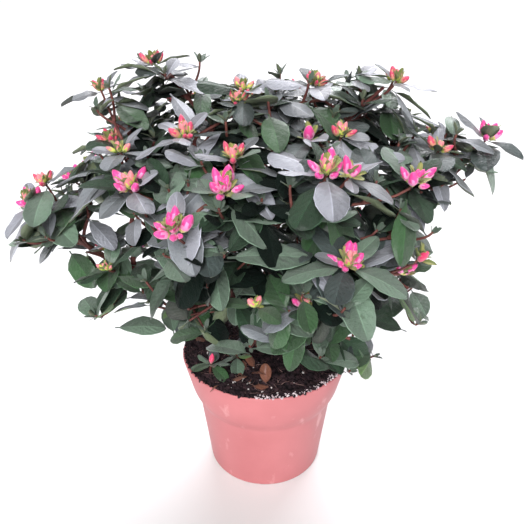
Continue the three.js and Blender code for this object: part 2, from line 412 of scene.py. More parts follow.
def mix_colours(tree, shader, value, first, second):
    """Base colour in patches of two colours."""
    patches = add_ramp(tree, value, [srgb(*first), srgb(*second)])
    tree.links.new(patches, shader.inputs["Base Color"])


# A leaf's relief: how far its side veins slant and how close they are, how deep they and the
# puckers of the blade are beside its grain, and the strength and depth of all of it.
VEIN_SLANT = -26.0
VEIN_CLOSENESS = 44.0
VEIN_DEPTH = 0.1
PUCKER_DEPTH = 1.2
LEAF_RELIEF = (0.85, 0.002)


def leaf_material(name, colour, roughness, sheen, gloss=LEAF_GLOSS):
    """A leaf's skin: side veins that slant from the midrib, and a fine leathery grain."""
    made, tree, shader = plain_material(
        name,
        colour,
        Sheen_Weight=sheen,
        Specular_IOR_Level=gloss,
        Coat_Weight=0.33 * gloss,
        Coat_Roughness=0.22,
    )
    uv = add_node(tree, "TexCoord").outputs["UV"]
    place = add_node(tree, "SeparateXYZ", {"Vector": uv}).outputs
    side = add_math(tree, "ABSOLUTE", add_math(tree, "SUBTRACT", place["X"], 0.5))
    pucker = add_noise(tree, uv, 7.0, detail=3.0, stretch=(0.7, 1.4, 1.0))
    slant = add_math(tree, "MULTIPLY_ADD", side, VEIN_SLANT, pucker)
    phase = add_math(tree, "MULTIPLY_ADD", place["Y"], VEIN_CLOSENESS, slant)
    vein = add_math(tree, "SINE", phase)
    grain = add_noise(tree, uv, 34.0, detail=5.0, stretch=(1.0, 1.8, 1.0))
    surface = add_math(tree, "MULTIPLY_ADD", vein, VEIN_DEPTH, grain)
    surface = add_math(tree, "MULTIPLY_ADD", pucker, PUCKER_DEPTH, surface)
    set_relief(tree, shader, surface, *LEAF_RELIEF)
    low, high = roughness - ROUGHNESS_SPREAD, roughness + ROUGHNESS_SPREAD
    set_roughness(tree, shader, grain, low, high)
    return made


def grained_material(name, tones, patches, grain, relief, roughness, where="Object", **values):
    """A material whose grain sets its relief and roughness, in patches where it has two
    tones. Patches and grain are each a scale, a detail and a stretch of a pattern."""
    made, tree, shader = plain_material(name, tones[0], **values)
    place = add_node(tree, "TexCoord").outputs[where]
    if patches:
        mix_colours(tree, shader, add_noise(tree, place, *patches), *tones)
    pattern = add_noise(tree, place, *grain)
    set_relief(tree, shader, pattern, *relief)
    set_roughness(tree, shader, pattern, *roughness)
    return made


def petal_material(name, colour):
    """A bud's skin: soft, with fine lengthwise folds."""
    folds = (9.0, 2.0, (3.0, 0.6, 1.0))
    soft = {"Sheen_Weight": 0.25, "Subsurface_Weight": 0.15, "Subsurface_Scale": 0.003}
    relief, roughness = (0.4, 0.0006), (0.38, 0.55)
    return grained_material(name, [colour], None, folds, relief, roughness, "UV", **soft)


def bark_material(name, dark, light, grain, depth):
    """Bark in patches of two colours, with lengthwise cracks."""
    cracks = (2.2 * grain, 5.0, (1.0, 1.0, 0.35))
    relief, roughness = (0.7, depth), (0.6, 0.85)
    return grained_material(
        name, [dark, light], (grain, 4.0), cracks, relief, roughness, Specular_IOR_Level=0.35
    )


def pot_material():
    """Thin moulded plastic, faintly mottled, with pale scuffs and a few dull smears."""
    made, tree, shader = plain_material("pot_plastic", POT_TONES[1], Specular_IOR_Level=0.4)
    place = add_node(tree, "TexCoord").outputs["Object"]
    mottle = add_noise(tree, place, 24.0, 4.0)
    scuffs = add_noise(tree, place, 90.0, 7.0, stretch=(1.0, 1.0, 0.6))
    base = add_ramp(tree, mottle, [srgb(*tone) for tone in POT_TONES], 0.3, 0.72)
    worn = add_ramp(tree, scuffs, [(0, 0, 0, 1), (0.5, 0.5, 0.5, 1)], 0.63, 0.78)
    # Sockets of the mix for colours: 0 is the share of the second, 6 and 7 are the two.
    mixed = add_node(tree, "Mix", {0: worn, 6: base, 7: srgb(*POT_SCUFF)}, data_type="RGBA")
    tree.links.new(mixed.outputs[2], shader.inputs["Base Color"])
    fine = add_noise(tree, place, 420.0, 3.0)
    set_relief(tree, shader, fine, 0.12, 0.0004)
    set_roughness(tree, shader, mottle, 0.42, 0.58)
    return made


def soil_material(name, dark, light):
    """Damp peat or a crumb of it."""
    relief, roughness = (1.0, 0.002), (0.75, 0.95)
    return grained_material(
        name, [dark, light], (190.0, 6.0), (380.0, 6.0), relief, roughness, Specular_IOR_Level=0.25
    )


def paler(colour, share):
    """A colour with all its parts raised to a share of what they were."""
    return tuple(min(255, value * share) for value in colour)


# ---------------------------------------------------------------- stocks and joined meshes

# A small shape as plain arrays, to be set out many times: its points, the point of each
# face corner, the number of corners of each face, its material slot, and the corners' UV.
Stock = namedtuple("Stock", "points corners counts slots uvs")


def stock_of(shape):
    """A modelled shape as a stock. Frees the shape."""
    shape.verts.index_update()
    layer = shape.loops.layers.uv.verify()
    loops = [loop for face in shape.faces for loop in face.loops]
    stock = Stock(
        np.array([vertex.co[:] for vertex in shape.verts]),
        np.array([loop.vert.index for loop in loops]),
        np.array([len(face.verts) for face in shape.faces]),
        np.array([face.material_index for face in shape.faces]),
        np.array([loop[layer].uv[:] for loop in loops]),
    )
    shape.free()
    return stock


def joined(name, copies, materials):
    """One object from copies of stocks. A copy is its points, its stock, and the slots
    that the stock's own slots stand for."""
    points, faces, slots, uvs = [], [], [], []
    first = 0
    for spots, stock, slot_map in copies:
        points.append(spots)
        ends = np.cumsum(stock.counts)[:-1]
        faces += [face.tolist() for face in np.split(stock.corners + first, ends)]
        slots.append(np.asarray(slot_map)[stock.slots])
        uvs.append(stock.uvs)
        first += len(spots)
    mesh = bpy.data.meshes.new(name)
    mesh.from_pydata(np.concatenate(points).tolist(), [], faces)
    mesh.polygons.foreach_set("material_index", np.concatenate(slots).astype(np.int32))
    mesh.polygons.foreach_set("use_smooth", np.ones(len(faces), bool))
    layer = mesh.uv_layers.new(name="UVMap")
    layer.data.foreach_set("uv", np.concatenate(uvs).astype(np.float32).ravel())
    mesh.update()
    return piece_of(name, mesh, materials)


def linked(name, data):
    """A new object in the scene, from its mesh, lamp or camera."""
    made = bpy.data.objects.new(name, data)
    bpy.context.scene.collection.objects.link(made)
    return made


def piece_of(name, mesh, materials):
    """A mesh as a piece that moves with the plant."""
    for made in materials:
        mesh.materials.append(made)
    piece = linked(name, mesh)
    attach(piece, "root")
    return piece


def mesh_of(name, shape, smooth=True):
    """A modelled shape as a mesh. Frees the shape."""
    mesh = bpy.data.meshes.new(name)
    shape.to_mesh(mesh)
    shape.free()
    mesh.polygons.foreach_set("use_smooth", np.full(len(mesh.polygons), smooth))
    return mesh


def stream(kind, number=0):
    """Seeded random draws for one kind of growth."""
    return np.random.default_rng([SEED, STREAMS[kind] + number])


def drawn(shares, rng):
    """One of some names, each of which has its share."""
    return rng.choice(list(shares), p=list(shares.values()))


def unit(vector):
    """A vector at unit length."""
    return vector / np.linalg.norm(vector)


def across(vector, axis):
    """The part of a vector that is square to a unit axis, at unit length."""
    return unit(vector - np.dot(vector, axis) * axis)


def polar(bearing, reach, height):
    """A point at a bearing and reach from the pot's axis, at a height."""
    turn = math.radians(bearing)
    return np.array([reach * math.cos(turn), reach * math.sin(turn), height])


def placed(stock, foot, along, up, length):
    """A stock's points with its X axis along a direction and its Z axis near another."""
    along = unit(along)
    top = across(up, along)
    turn = np.stack([along, np.cross(top, along), top])
    return foot + length * (stock.points @ turn)


# ---------------------------------------------------------------- pot


def spun(profile, sides):
    """A closed round shape from a profile of (radius, height) points on the axis at both
    ends."""
    shape = bmesh.new()
    points = [shape.verts.new((radius, 0, height)) for radius, height in profile]
    edges = [shape.edges.new(pair) for pair in zip(points, points[1:])]
    bmesh.ops.spin(
        shape,
        geom=points + edges,
        cent=(0, 0, 0),
        axis=(0, 0, 1),
        angle=2 * math.pi,
        steps=sides,
        use_merge=True,
        use_duplicate=False,
    )
    bmesh.ops.remove_doubles(shape, verts=shape.verts[:], dist=1e-6)
    bmesh.ops.recalc_face_normals(shape, faces=shape.faces[:])
    return shape


def pot_wall(rim, height, inset=0.0):
    """The wall's profile between the pot's corner and its rim, moved inwards by an inset."""
    return [(share * rim - inset, level * height) for level, share in POT_WALL_LEVELS]


def make_pot():
    """The pot's wall and floor as one shell, with a rounded foot and lip."""
    low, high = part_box("pot")
    height = high.z - low.z
    rim = (high.x - low.x) / 2
    foot = POT_FOOT_SHARE * rim
    corner = [
        (foot - POT_CORNER * (1 - math.sin(turn)), POT_CORNER * (1 - math.cos(turn)))
        for turn in np.linspace(0, math.pi / 2, 5)
    ]
    wall = pot_wall(rim, height)
    lip = [
        (rim - POT_LIP * (1 - math.cos(turn)), height - POT_LIP * (1 - math.sin(turn)))
        for turn in np.linspace(0, math.pi, 7)
    ]
    inside = pot_wall(rim, height, POT_WALL)[::-1]
    profile = [(0, 0), (POT_FLAT_SHARE * foot, 0), *corner, *wall, *lip, *inside]
    profile += [(foot - POT_WALL, POT_CORNER), (0, POT_CORNER)]
    shape = spun(profile, POT_SIDES)
    piece = piece_of("pot_shell", mesh_of("pot_shell", shape), [pot_material()])
    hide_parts("pot")


# ---------------------------------------------------------------- soil


def crumb_stock():
    """A knobbly crumb of unit radius."""
    shape = bmesh.new()
    bmesh.ops.create_icosphere(shape, subdivisions=1, radius=1)
    for vertex in shape.verts:
        vertex.co *= 1 + 0.5 * noise.noise(vertex.co * 2.3)
    return stock_of(shape)


def scattered(stock, middle, size, rng, slot):
    """A copy of a stock at a seeded turn and stretch, in one slot."""
    turn = np.linalg.qr(rng.normal(size=(3, 3)))[0]
    turn[:, 0] *= np.linalg.det(turn)
    stretch = rng.uniform(0.6, 1.25, 3)
    return middle + (stock.points * stretch * size) @ turn, stock, [slot]


class Soil:
    """The peat in the pot: its surface, and what lies on it."""

    def __init__(self, rng):
        low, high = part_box("soil")
        pot_low, pot_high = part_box("pot")
        self.rng = rng
        self.foot = low.z
        self.radius = (high.x - low.x) / 2 - SOIL_GAP
        self.edge = high.z - SOIL_EDGE_DROP
        self.top = high.z - SOIL_TOP_DROP
        self.rim = (pot_high.x - pot_low.x) / 2
        self.rim_height = pot_high.z
        self.crumb = crumb_stock()

    def height(self, x, y):
        """The surface's height: heaped a little to the middle, with lumps and hollows."""
        share = min(1.0, math.hypot(x, y) / self.radius)
        heap = self.edge + (self.top - self.edge) * (1 - share**2)
        lumps = noise.fractal(Vector((x, y, 0.3)) * LUMPS_PER_METRE, *LUMP_NOISE) * SOIL_LUMP
        return heap + lumps * (1 - 0.5 * share**6)

    def spot(self, spread=0.5):
        """A seeded point on the surface, nearer the middle for a greater spread."""
        reach = self.radius * SOIL_REACH * self.rng.random() ** spread
        turn = self.rng.random() * 2 * math.pi
        x, y = reach * math.cos(turn), reach * math.sin(turn)
        return np.array([x, y, self.height(x, y)])

    def make_surface(self):
        """The body of peat, which fills the pot up to its lumpy surface."""
        rings = [(self.radius * ring / SOIL_RINGS, self.edge) for ring in range(SOIL_RINGS + 1)]
        side = pot_wall(self.rim, self.rim_height, POT_WALL + SOIL_GAP)[::-1]
        foot = POT_FOOT_SHARE * self.rim - POT_WALL - SOIL_GAP
        shape = spun([*rings, *side, (foot, self.foot), (0, self.foot)], POT_SIDES)
        for vertex in shape.verts:
            if vertex.co.z > self.edge - 0.1 * MM:
                vertex.co.z = self.height(vertex.co.x, vertex.co.y)
        peat = soil_material("peat", (13, 7, 11), (34, 22, 28))
        piece = piece_of("peat_surface", mesh_of("peat_surface", shape), [peat])
        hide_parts("soil")

    def scatter_crumbs(self):
        """Crumbs all over the surface and heaped along the rim."""
        rng = self.rng
        crumbs = []
        for _ in range(CRUMBS):
            size = rng.uniform(*CRUMB_SIZES) * MM
            crumbs.append(scattered(self.crumb, self.spot(), size, rng, rng.integers(2)))
        for _ in range(RIM_CRUMBS):
            reach = rng.uniform(0.96 * self.radius, self.rim - 0.7 * MM)
            bearing = rng.uniform(0, 360)
            place = polar(bearing, reach, self.rim_height + rng.uniform(-0.8, 0.8) * MM)
            size = rng.uniform(*RIM_CRUMB_SIZES) * MM
            crumbs.append(scattered(self.crumb, place, size, rng, 0))
        tones = [
            soil_material("peat_crumb", (20, 12, 17), (50, 35, 40)),
            soil_material("peat_crumb_brown", (28, 17, 22), (58, 40, 44)),
        ]
        joined("peat_crumbs", crumbs, tones)

    def spill_grains(self):
        """Pale grains spilled over a stretch of the rim."""
        rng = self.rng
        spilled = []
        for _ in range(SPILL_GRAINS):
            bearing = rng.uniform(*SPILL_BEARINGS)
            reach = self.rim - rng.uniform(*SPILL_WIDTHS) * MM
            place = polar(bearing, reach, self.rim_height + rng.uniform(0, 0.7) * MM)
            size = rng.uniform(*SPILL_SIZES) * MM
            spilled.append(scattered(self.crumb, place, size, rng, 0))
        pale = soil_material("spilled_grains", (196, 172, 178), (238, 224, 228))
        joined("spilled_grains", spilled, [pale])

    def scatter_perlite(self):
        """White grains between the crumbs."""
        rng = self.rng
        grains = []
        for _ in range(PERLITE):
            size = rng.uniform(*PERLITE_SIZES) * MM
            grains.append(scattered(self.crumb, self.spot(0.3), size, rng, 0))
        white = soil_material("perlite", (205, 196, 196), (236, 230, 228))
        joined("perlite", grains, [white])

    def lay_fibres(self):
        """Root fibres that lie on the peat, each one bowed to a side."""
        rng = self.rng
        rod = rod_stock(4, 5)
        fibres = []
        for _ in range(FIBRES):
            start = self.spot(0.4)
            turn = rng.random() * 2 * math.pi
            length = rng.uniform(*FIBRE_LENGTHS) * MM
            heading = np.array([math.cos(turn), math.sin(turn), rng.uniform(-0.1, 0.35)])
            sag = np.array([-heading[1], heading[0], 0.15]) * length * rng.uniform(-0.4, 0.4)
            middle, end = start + heading * length / 2 + sag, start + heading * length
            path = bezier([start, middle, end], 5)
            reach = np.hypot(path[:, 0], path[:, 1]) / (0.97 * self.radius)
            path[:, :2] /= np.maximum(1.0, reach)[:, None]
            radius = rng.uniform(*FIBRE_RADII) * MM
            fibres.append(bent(rod, path, (radius, 0.6 * radius), slot=rng.integers(2)))
        tones = [
            bark_material("root_fibre", (50, 32, 34), (84, 58, 56), 300.0, 0.0002),
            bark_material("root_fibre_pale", (96, 70, 68), (136, 108, 104), 300.0, 0.0002),
        ]
        joined("peat_fibres", fibres, tones)

    def drop_leaves(self, leaf_stocks):
        """Dry leaves all over the surface, and flakes of bark in front of the trunk."""
        rng = self.rng
        chips = []
        for _ in range(FALLEN):
            foot = self.spot(0.6) + UP * 0.8 * MM
            turn = rng.random() * 2 * math.pi
            heading = np.array([math.cos(turn), math.sin(turn), rng.uniform(-0.1, 0.1)])
            size = rng.uniform(*FALLEN_SIZES) * MM
            lean = unit(UP + 0.5 * rng.normal(size=3))
            stock = leaf_stocks[rng.choice(["narrow", "common"])][0]
            chips.append((placed(stock, foot, heading, lean, size), stock, [0, 1, 1, 1, 0]))
        for _ in range(BARK_FLAKES):
            x, y, _ = polar(rng.uniform(*FLAKE_BEARINGS), rng.uniform(*FLAKE_REACHES), 0)
            foot = np.array([x, y, self.height(x, y) + FLAKE_LIFT])
            heading = unit(np.array([rng.normal(), rng.normal(), 0.5]))
            stock = leaf_stocks["broad"][1]
            size = rng.uniform(*FLAKE_SIZES) * MM
            chips.append((placed(stock, foot, heading, UP, size), stock, [1, 2, 2, 1, 1]))
        tones = [
            leaf_material("dry_leaf", (122, 66, 44), DRY_ROUGHNESS, 0.0),
            leaf_material("dry_leaf_edge", (142, 84, 58), DRY_ROUGHNESS, 0.0),
            leaf_material("bark_flake", (150, 78, 66), DRY_ROUGHNESS, 0.0),
        ]
        joined("fallen_leaves", chips, tones)

    def make(self, leaf_stocks):
        """All of it, in the order of its random draws."""
        self.make_surface()
        self.scatter_crumbs()
        self.spill_grains()
        self.scatter_perlite()
        self.lay_fibres()
        self.drop_leaves(leaf_stocks)


# ---------------------------------------------------------------- limbs and twigs


def bezier(controls, steps):
    """Points along a Bezier curve with any number of controls."""
    share = np.linspace(0, 1, steps + 1)[:, None]
    rows = [np.tile(np.asarray(point, float), (steps + 1, 1)) for point in controls]
    while len(rows) > 1:
        rows = [a * (1 - share) + b * share for a, b in zip(rows, rows[1:])]
    return rows[0]


def evened(path, steps):
    """The same path in steps of equal length."""
    lengths = np.linalg.norm(np.diff(path, axis=0), axis=1)
    along = np.concatenate([[0], np.cumsum(lengths)])
    stops = np.linspace(0, along[-1], steps + 1)
    return np.stack([np.interp(stops, along, path[:, axis]) for axis in range(3)], axis=1)


def swept(start, end, sweep):
    """A path that heads outwards first and then turns up to its end."""
    bend = start + (end - start) * np.array([sweep, sweep, 1 - sweep])
    return evened(bezier([start, bend, end], 40), LIMB_STEPS)


def at(path, share):
    """The point and the direction at a share of a path's length."""
    place = share * (len(path) - 1)
    low = min(int(place), len(path) - 2)
    point = path[low] + (path[low + 1] - path[low]) * (place - low)
    return point, unit(path[low + 1] - path[low])


def rod_stock(sides, rings):
    """A round rod of unit radius along Z from 0 to 1, cut into rings."""
    shape = bmesh.new()
    bmesh.ops.create_cone(
        shape, cap_ends=True, cap_tris=False, segments=sides, radius1=1, radius2=1, depth=1
    )
    bmesh.ops.translate(shape, verts=shape.verts[:], vec=(0, 0, 0.5))
    long_edges = [
        edge for edge in shape.edges if abs(edge.verts[0].co.z - edge.verts[1].co.z) > 0.5
    ]
    bmesh.ops.subdivide_edges(shape, edges=long_edges, cuts=rings - 1, use_grid_fill=True)
    layer = shape.loops.layers.uv.verify()
    for face in shape.faces:
        for loop in face.loops:
            turn = math.atan2(loop.vert.co.y, loop.vert.co.x) / (2 * math.pi)
            loop[layer].uv = (abs(turn), loop.vert.co.z)
    return stock_of(shape)


def bent(rod, path, radii, slot=0, relief=0.0, swell=None):
    """A copy of a rod bent along a path, tapered, and roughened by a relief."""
    tangents = np.gradient(path, axis=0)
    tangents /= np.linalg.norm(tangents, axis=1)[:, None]
    side = across(BACK if abs(tangents[0][1]) < 0.9 else UP, tangents[0])
    sides = []
    for tangent in tangents:
        side = across(side, tangent)
        sides.append(side)
    sides = np.array(sides)
    binormals = np.cross(tangents, sides)
    share = rod.points[:, 2]
    place = share * (len(path) - 1)
    low = np.minimum(place.astype(int), len(path) - 2)
    part = (place - low)[:, None]

    def between(rows):
        return rows[low] * (1 - part) + rows[low + 1] * part

    radius = radii[0] + (radii[1] - radii[0]) * share
    if swell is not None:
        radius = radius + swell(share)
    x, y = rod.points[:, 0], rod.points[:, 1]
    if relief:
        start = Vector(path[0].tolist()) * 97
        places = rod.points * [RIDGES_ROUND, RIDGES_ROUND, RIDGES_ALONG]
        ridges = [noise.fractal(start + Vector(place), *RIDGE_NOISE) for place in places]
        radius = radius * (1 + relief * np.array(ridges))
    ring = between(sides) * x[:, None] + between(binormals) * y[:, None]
    return between(path) + ring * radius[:, None], rod, [slot]


def make_limbs(rng):
    """The bark of the trunk, the stems and the boughs. Returns the limbs' paths by mass."""
    bark = bark_material("bark", (78, 46, 44), (118, 78, 72), 150.0, 0.0006)
    young_bark = bark_material("young_bark", (98, 52, 50), (140, 84, 78), 170.0, 0.0004)
    rod = rod_stock(LIMB_SIDES, LIMB_STEPS)
    low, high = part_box("trunk")
    foot = np.array([0, 0, low.z - 2 * MM])
    head = np.array([0, 0, high.z]) + TRUNK_LEAN
    trunk = evened(bezier([foot, (foot + [0, 0, head[2]]) / 2, head], 20), LIMB_STEPS)

    def flare(share):
        return TRUNK_FLARE * (1 - share) ** 4

    radii = (TRUNK_RADIUS, TRUNK_RADIUS - TRUNK_TAPER)
    copy = bent(rod, trunk, radii, relief=TRUNK_RELIEF, swell=flare)
    piece = joined("trunk_bark", [copy], [bark])
    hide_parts("trunk")

    def limb(node, start, mass, radii, sweep, made):
        """The bark of a stem or bough from its start to its mass. Returns its path."""
        path = swept(start, middle_of(mass), sweep)
        share = np.linspace(0, 1, len(path))
        phases = rng.uniform(0, 6, 3)
        slow, fast = (wave * share[:, None] for wave in LIMB_WAVES)
        wander = np.sin(slow + phases) + np.sin(fast + 2 * phases)
        path = path + LIMB_WANDER * 0.5 * wander * np.sin(math.pi * share)[:, None]
        copy = bent(rod, path, radii, relief=LIMB_RELIEF)
        piece = joined(node + "_bark", [copy], [made])
        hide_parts(node)
        return path

    fork = at(trunk, FORK_ALONG)[0]
    paths, stems = {}, {}
    for name, mass in STEMS.items():
        stems[name] = limb(f"stem_{name}", fork, mass, STEM_RADII, STEM_SWEEP, bark)
        paths[mass] = stems[name]
    for stem, along, mass in BOUGHS:
        start = at(stems[stem], along)[0]
        paths[mass] = limb(f"bough_{mass}", start, mass, BOUGH_RADII, BOUGH_SWEEP, young_bark)
    return paths


# ---------------------------------------------------------------- leaves and buds

# Length over width, how sharp the foot and the tip are, how far the halves fold up, how
# far the leaf droops to its tip, its wave and its twist.
LEAF_SHAPES = {
    "common": [
        (2.1, 0.74, 0.62, 0.2, 0.13, 0.02, 0.15),
        (2.0, 0.72, 0.6, -0.2, 0.11, 0.03, -0.3),
        (2.2, 0.78, 0.64, 0.32, 0.1, 0.02, 0.3),
        (2.05, 0.7, 0.62, 0.1, 0.16, 0.04, -0.1),
    ],
    "broad": [
        (1.6, 0.66, 0.58, 0.18, 0.12, 0.03, 0.15),
        (1.7, 0.68, 0.6, -0.2, 0.14, 0.03, -0.2),
    ],
    "narrow": [
        (2.55, 0.8, 0.68, 0.3, 0.11, 0.03, 0.2),
        (2.75, 0.82, 0.7, -0.16, 0.13, 0.02, -0.3),
    ],
}


# Shares of a leaf's half width: how far its blade arches, its midrib sinks, and its underside
# lies below. Then the least half width, of its stalk, and the waves along its edge.
BLADE_ARCH = 0.22
MIDRIB_SINK = 0.12
UNDERSIDE_SINK = 0.08
STALK_WIDTH = 0.016
EDGE_WAVES = 11


def blade_slot(strip, strips):
    """The slot of a strip of faces along a leaf's upper side: half, rib, margin, other half."""
    if strip in (0, strips - 1):
        return 2
    if strip == strips // 2:
        return 1
    # The two halves take the painted shade and the painted light of the leaf.
    return 0 if strip < strips // 2 else 4


def leaf_stock(ratio, foot_power, tip_power, fold, droop, wave, twist, steps=LEAF_ROWS):
    """A thin two-sided leaf, 1 long along X, from the foot of its stalk, left open, to its tip."""
    peak_at = foot_power / (foot_power + tip_power)
    peak = peak_at**foot_power * (1 - peak_at) ** tip_power
    spread = np.linspace(0, math.pi, steps)
    rows = [0.0, *(LEAF_STALK + (1 - LEAF_STALK) * (1 - np.cos(spread)) / 2)]

    def half_width(along):
        blade = max(0.0, (along - LEAF_STALK) / (1 - LEAF_STALK))
        swell = blade**foot_power * (1 - blade) ** tip_power / peak
        return max(0.5 / ratio * swell, STALK_WIDTH if along < 0.95 else 0.0)

    def shaped(along, side, sunk):
        half = half_width(along)
        height = half * (fold * abs(side) + BLADE_ARCH * (1 - side**2)) - droop * along**2
        ripple = wave * math.sin(EDGE_WAVES * along + 2 * side)
        height += ripple * abs(side) * math.sin(math.pi * along)
        if abs(side) < 0.1:
            height -= MIDRIB_SINK * half
        if sunk:
            height -= LEAF_THICKNESS + UNDERSIDE_SINK * half
        turn = twist * along
        y = side * half
        return Vector((along, y * math.cos(turn), height + y * math.sin(turn)))

    shape = bmesh.new()
    layer = shape.loops.layers.uv.verify()
    for columns, sunk in ((LEAF_COLUMNS, False), ([-1, 0, 1], True)):
        strips = len(columns) - 1
        grid = bmesh.ops.create_grid(shape, x_segments=steps, y_segments=strips, size=1)
        spots = {}
        for vertex in grid["verts"]:
            row = round((vertex.co.x + 1) / 2 * steps)
            column = round((vertex.co.y + 1) / 2 * strips)
            spots[vertex] = (row, column)
        for face in {face for vertex in grid["verts"] for face in vertex.link_faces}:
            for loop in face.loops:
                row, column = spots[loop.vert]
                loop[layer].uv = ((columns[column] + 1) / 2, rows[row])
            strip = min(spots[loop.vert][1] for loop in face.loops)
            face.material_index = 3 if sunk else blade_slot(strip, strips)
        for vertex, (row, column) in spots.items():
            vertex.co = shaped(rows[row], columns[column], sunk and abs(columns[column]) < 1)
    bmesh.ops.remove_doubles(shape, verts=shape.verts[:], dist=1e-5)
    bmesh.ops.recalc_face_normals(shape, faces=shape.faces[:])
    return stock_of(shape)


# Up a bud: its radius and height as shares of its length.
BUD_OUTLINE = [(0, 0), (0.13, 0.06), (0.23, 0.24), (0.27, 0.45), (0.23, 0.68), (0.13, 0.88), (0, 1)]
# Where the colours of a bud's foot and side end, on the streaks between its folds and on them.
BUD_STREAK = (0.2, 0.66)
BUD_FOLD = (0.34, 0.45)
BUD_FOLDS = 5
BUD_FOLD_DEPTH = 0.09
# A bud's twist from foot to tip in radians, and its fullness, for each shape of bud.
BUD_SHAPES = [(1.2, 0.86), (-0.9, 0.95), (1.6, 0.76)]


def bud_stock(twist, fullness):
    """A pointed bud, 1 long along X, whose furled petals make twisted folds."""
    shape = spun([(fullness * radius, height) for radius, height in BUD_OUTLINE], BUD_SIDES)
    layer = shape.loops.layers.uv.verify()
    for face in shape.faces:
        middle = face.calc_center_median()
        turn = math.atan2(middle.y, middle.x) + 0.5 * math.pi / BUD_SIDES
        column = round(turn / (2 * math.pi) * BUD_SIDES)
        side, tip = BUD_STREAK if column % 2 else BUD_FOLD
        face.material_index = 0 if middle.z < side else 1 if middle.z < tip else 2
        for loop in face.loops:
            loop[layer].uv = (abs(turn) / math.pi, loop.vert.co.z)
    for vertex in shape.verts:
        turn = math.atan2(vertex.co.y, vertex.co.x) + twist * vertex.co.z
        reach = math.hypot(vertex.co.x, vertex.co.y)
        reach *= 1 + BUD_FOLD_DEPTH * math.cos(BUD_FOLDS * turn)
        vertex.co = (vertex.co.z, reach * math.cos(turn), reach * math.sin(turn))
    bmesh.ops.recalc_face_normals(shape, faces=shape.faces[:])
    return stock_of(shape)


def crown_tree():
    """The faces of all the masses of leaves, to find the nearest to a point."""
    points, faces = [], []
    for mass in MASSES:
        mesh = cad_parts["leaves_" + mass].data
        faces += [[len(points) + number for number in face.vertices] for face in mesh.polygons]
        points += [vertex.co.copy() for vertex in mesh.vertices]
    return BVHTree.FromPolygons(points, faces)


Leaf = namedtuple("Leaf", "foot along up length shape tint")
Bud = namedtuple("Bud", "foot along length kind")


def middle_of(mass):
    """The middle of a mass's box."""
    low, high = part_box("leaves_" + mass)
    return (np.array(low) + np.array(high)) / 2


def half_of(mass):
    """Half the size of a mass's box."""
    low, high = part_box("leaves_" + mass)
    return (np.array(high) - np.array(low)) / 2


def spot_in(mass, side, out, up):
    """A point in the box of a mass: sideways, outwards from the plant's middle, and up."""
    middle = middle_of(mass)
    outwards = unit(middle * np.array([1, 1, 0]))
    offset = side * np.cross(UP, outwards) + out * outwards + up * UP
    return middle + half_of(mass) * offset


# Seeded clusters: sideways shares of the two on a mass, and the ranges of their places
# outwards and up and of their number of buds.
SEEDED_SIDES = (-0.45, 0.45)
SEEDED_OUT = (0.0, 0.4)
SEEDED_UP = (0.1, 0.5)
SEEDED_BUDS = (2, 7)


def tier_at(height):
    """The tier of the foliage that a height counts in."""
    return next(tier for tier, lowest in TIERS.items() if height > lowest)


def clusters_of(mass):
    """The clusters of buds on a mass: tip, kind and number. They are listed or seeded."""
    if mass in CLUSTERS:
        return [
            (spot_in(mass, *SPOTS[spot]), kind, count) for spot, kind, count in CLUSTERS[mass]
        ]
    rng = stream("clusters", MASSES.index(mass))
    kinds = ["coral", "young"] if middle_of(mass)[2] > TIERS["upper"] else ["magenta", "ripe"]
    clusters = []
    for side in SEEDED_SIDES:
        out, up = rng.uniform(*SEEDED_OUT), rng.uniform(*SEEDED_UP)
        tip = spot_in(mass, side + rng.normal(0, 0.1), out, up)
        clusters.append((tip, rng.choice(kinds), rng.integers(*SEEDED_BUDS)))
    return clusters


def sprout_tip(bearing, reach):
    """Where a sprout from the soil ends."""
    return polar(bearing, reach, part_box("soil")[1].z - 3 * MM + SPROUT_HEIGHT)


def whorl_direction(axis, bearing, lift):
    """A direction at a bearing round an axis, lifted from the plane square to it."""
    back = across(BACK, axis)
    right = np.cross(back, axis)
    turn, rise = math.radians(bearing), math.radians(lift)
    flat = back * math.cos(turn) + right * math.sin(turn)
    return flat * math.cos(rise) + axis * math.sin(rise)


# A leaf's upper side faces between its shoot's axis and the sky, with a seeded turn.
LEAF_TO_AXIS = 0.5
LEAF_TO_SKY = 0.7
LEAF_TURN = 0.22
# Shares of the crown's height: below the first, leaves are green; above the second, silvery
# with painted sheen.
GREEN_BELOW = 0.42
PAINTED_SHEEN_ABOVE = 0.75
# Leaves with less lift than this, in degrees, hang.
HANGING_LIFT = -12
# A whorl, from its inmost leaf to its outmost: lift in degrees, how far it falls, and the
# inmost leaf's length as a share of a full one's.
WHORL_LIFT = 32
WHORL_FALL = 64
INMOST_LEAF = 0.5
SHAPE_SHARES = {"common": 0.6, "broad": 0.16, "narrow": 0.24}
# Where along a limb of its own a mass's twigs end, and how far back they may start.
LIMB_SHARE = 0.8
FORKS_BACK = (0.3, 0.2, 0.1, 0.0)
TWIG_FORKS = (0.25, 0.45, 0.65)
# A mass without a limb of its own takes one that passes below it, past this share of it. A
# limb that isn't this far below counts as farther away than it is.
BORROWED_FROM = 0.45
BORROWED_DROP = 8 * MM
NOT_BELOW = 40 * MM
# A shoot's lean: full from this reach in metres, so much at the foot of the plant, and so
# much less at its top.
LEAN_REACH = 0.13
LEAN_AT_SOIL = 1.55
LEAN_LOSS = 1.15
# A cluster's axis rises more than its shoot's, and its foot lies below the shoot's tip.
CLUSTER_RISE = 0.5
CLUSTER_DROP = 3 * MM
MIDDLE_LIFT = 76
MIDDLE_LENGTHS = (0.65, 0.9)
# The outer buds: lift in degrees and length, in front, and how much more there is behind.
OUTER_LIFT = (38, 26)
OUTER_LENGTH = (0.66, 0.3)
OUTER_SPREAD = 2.4 * MM
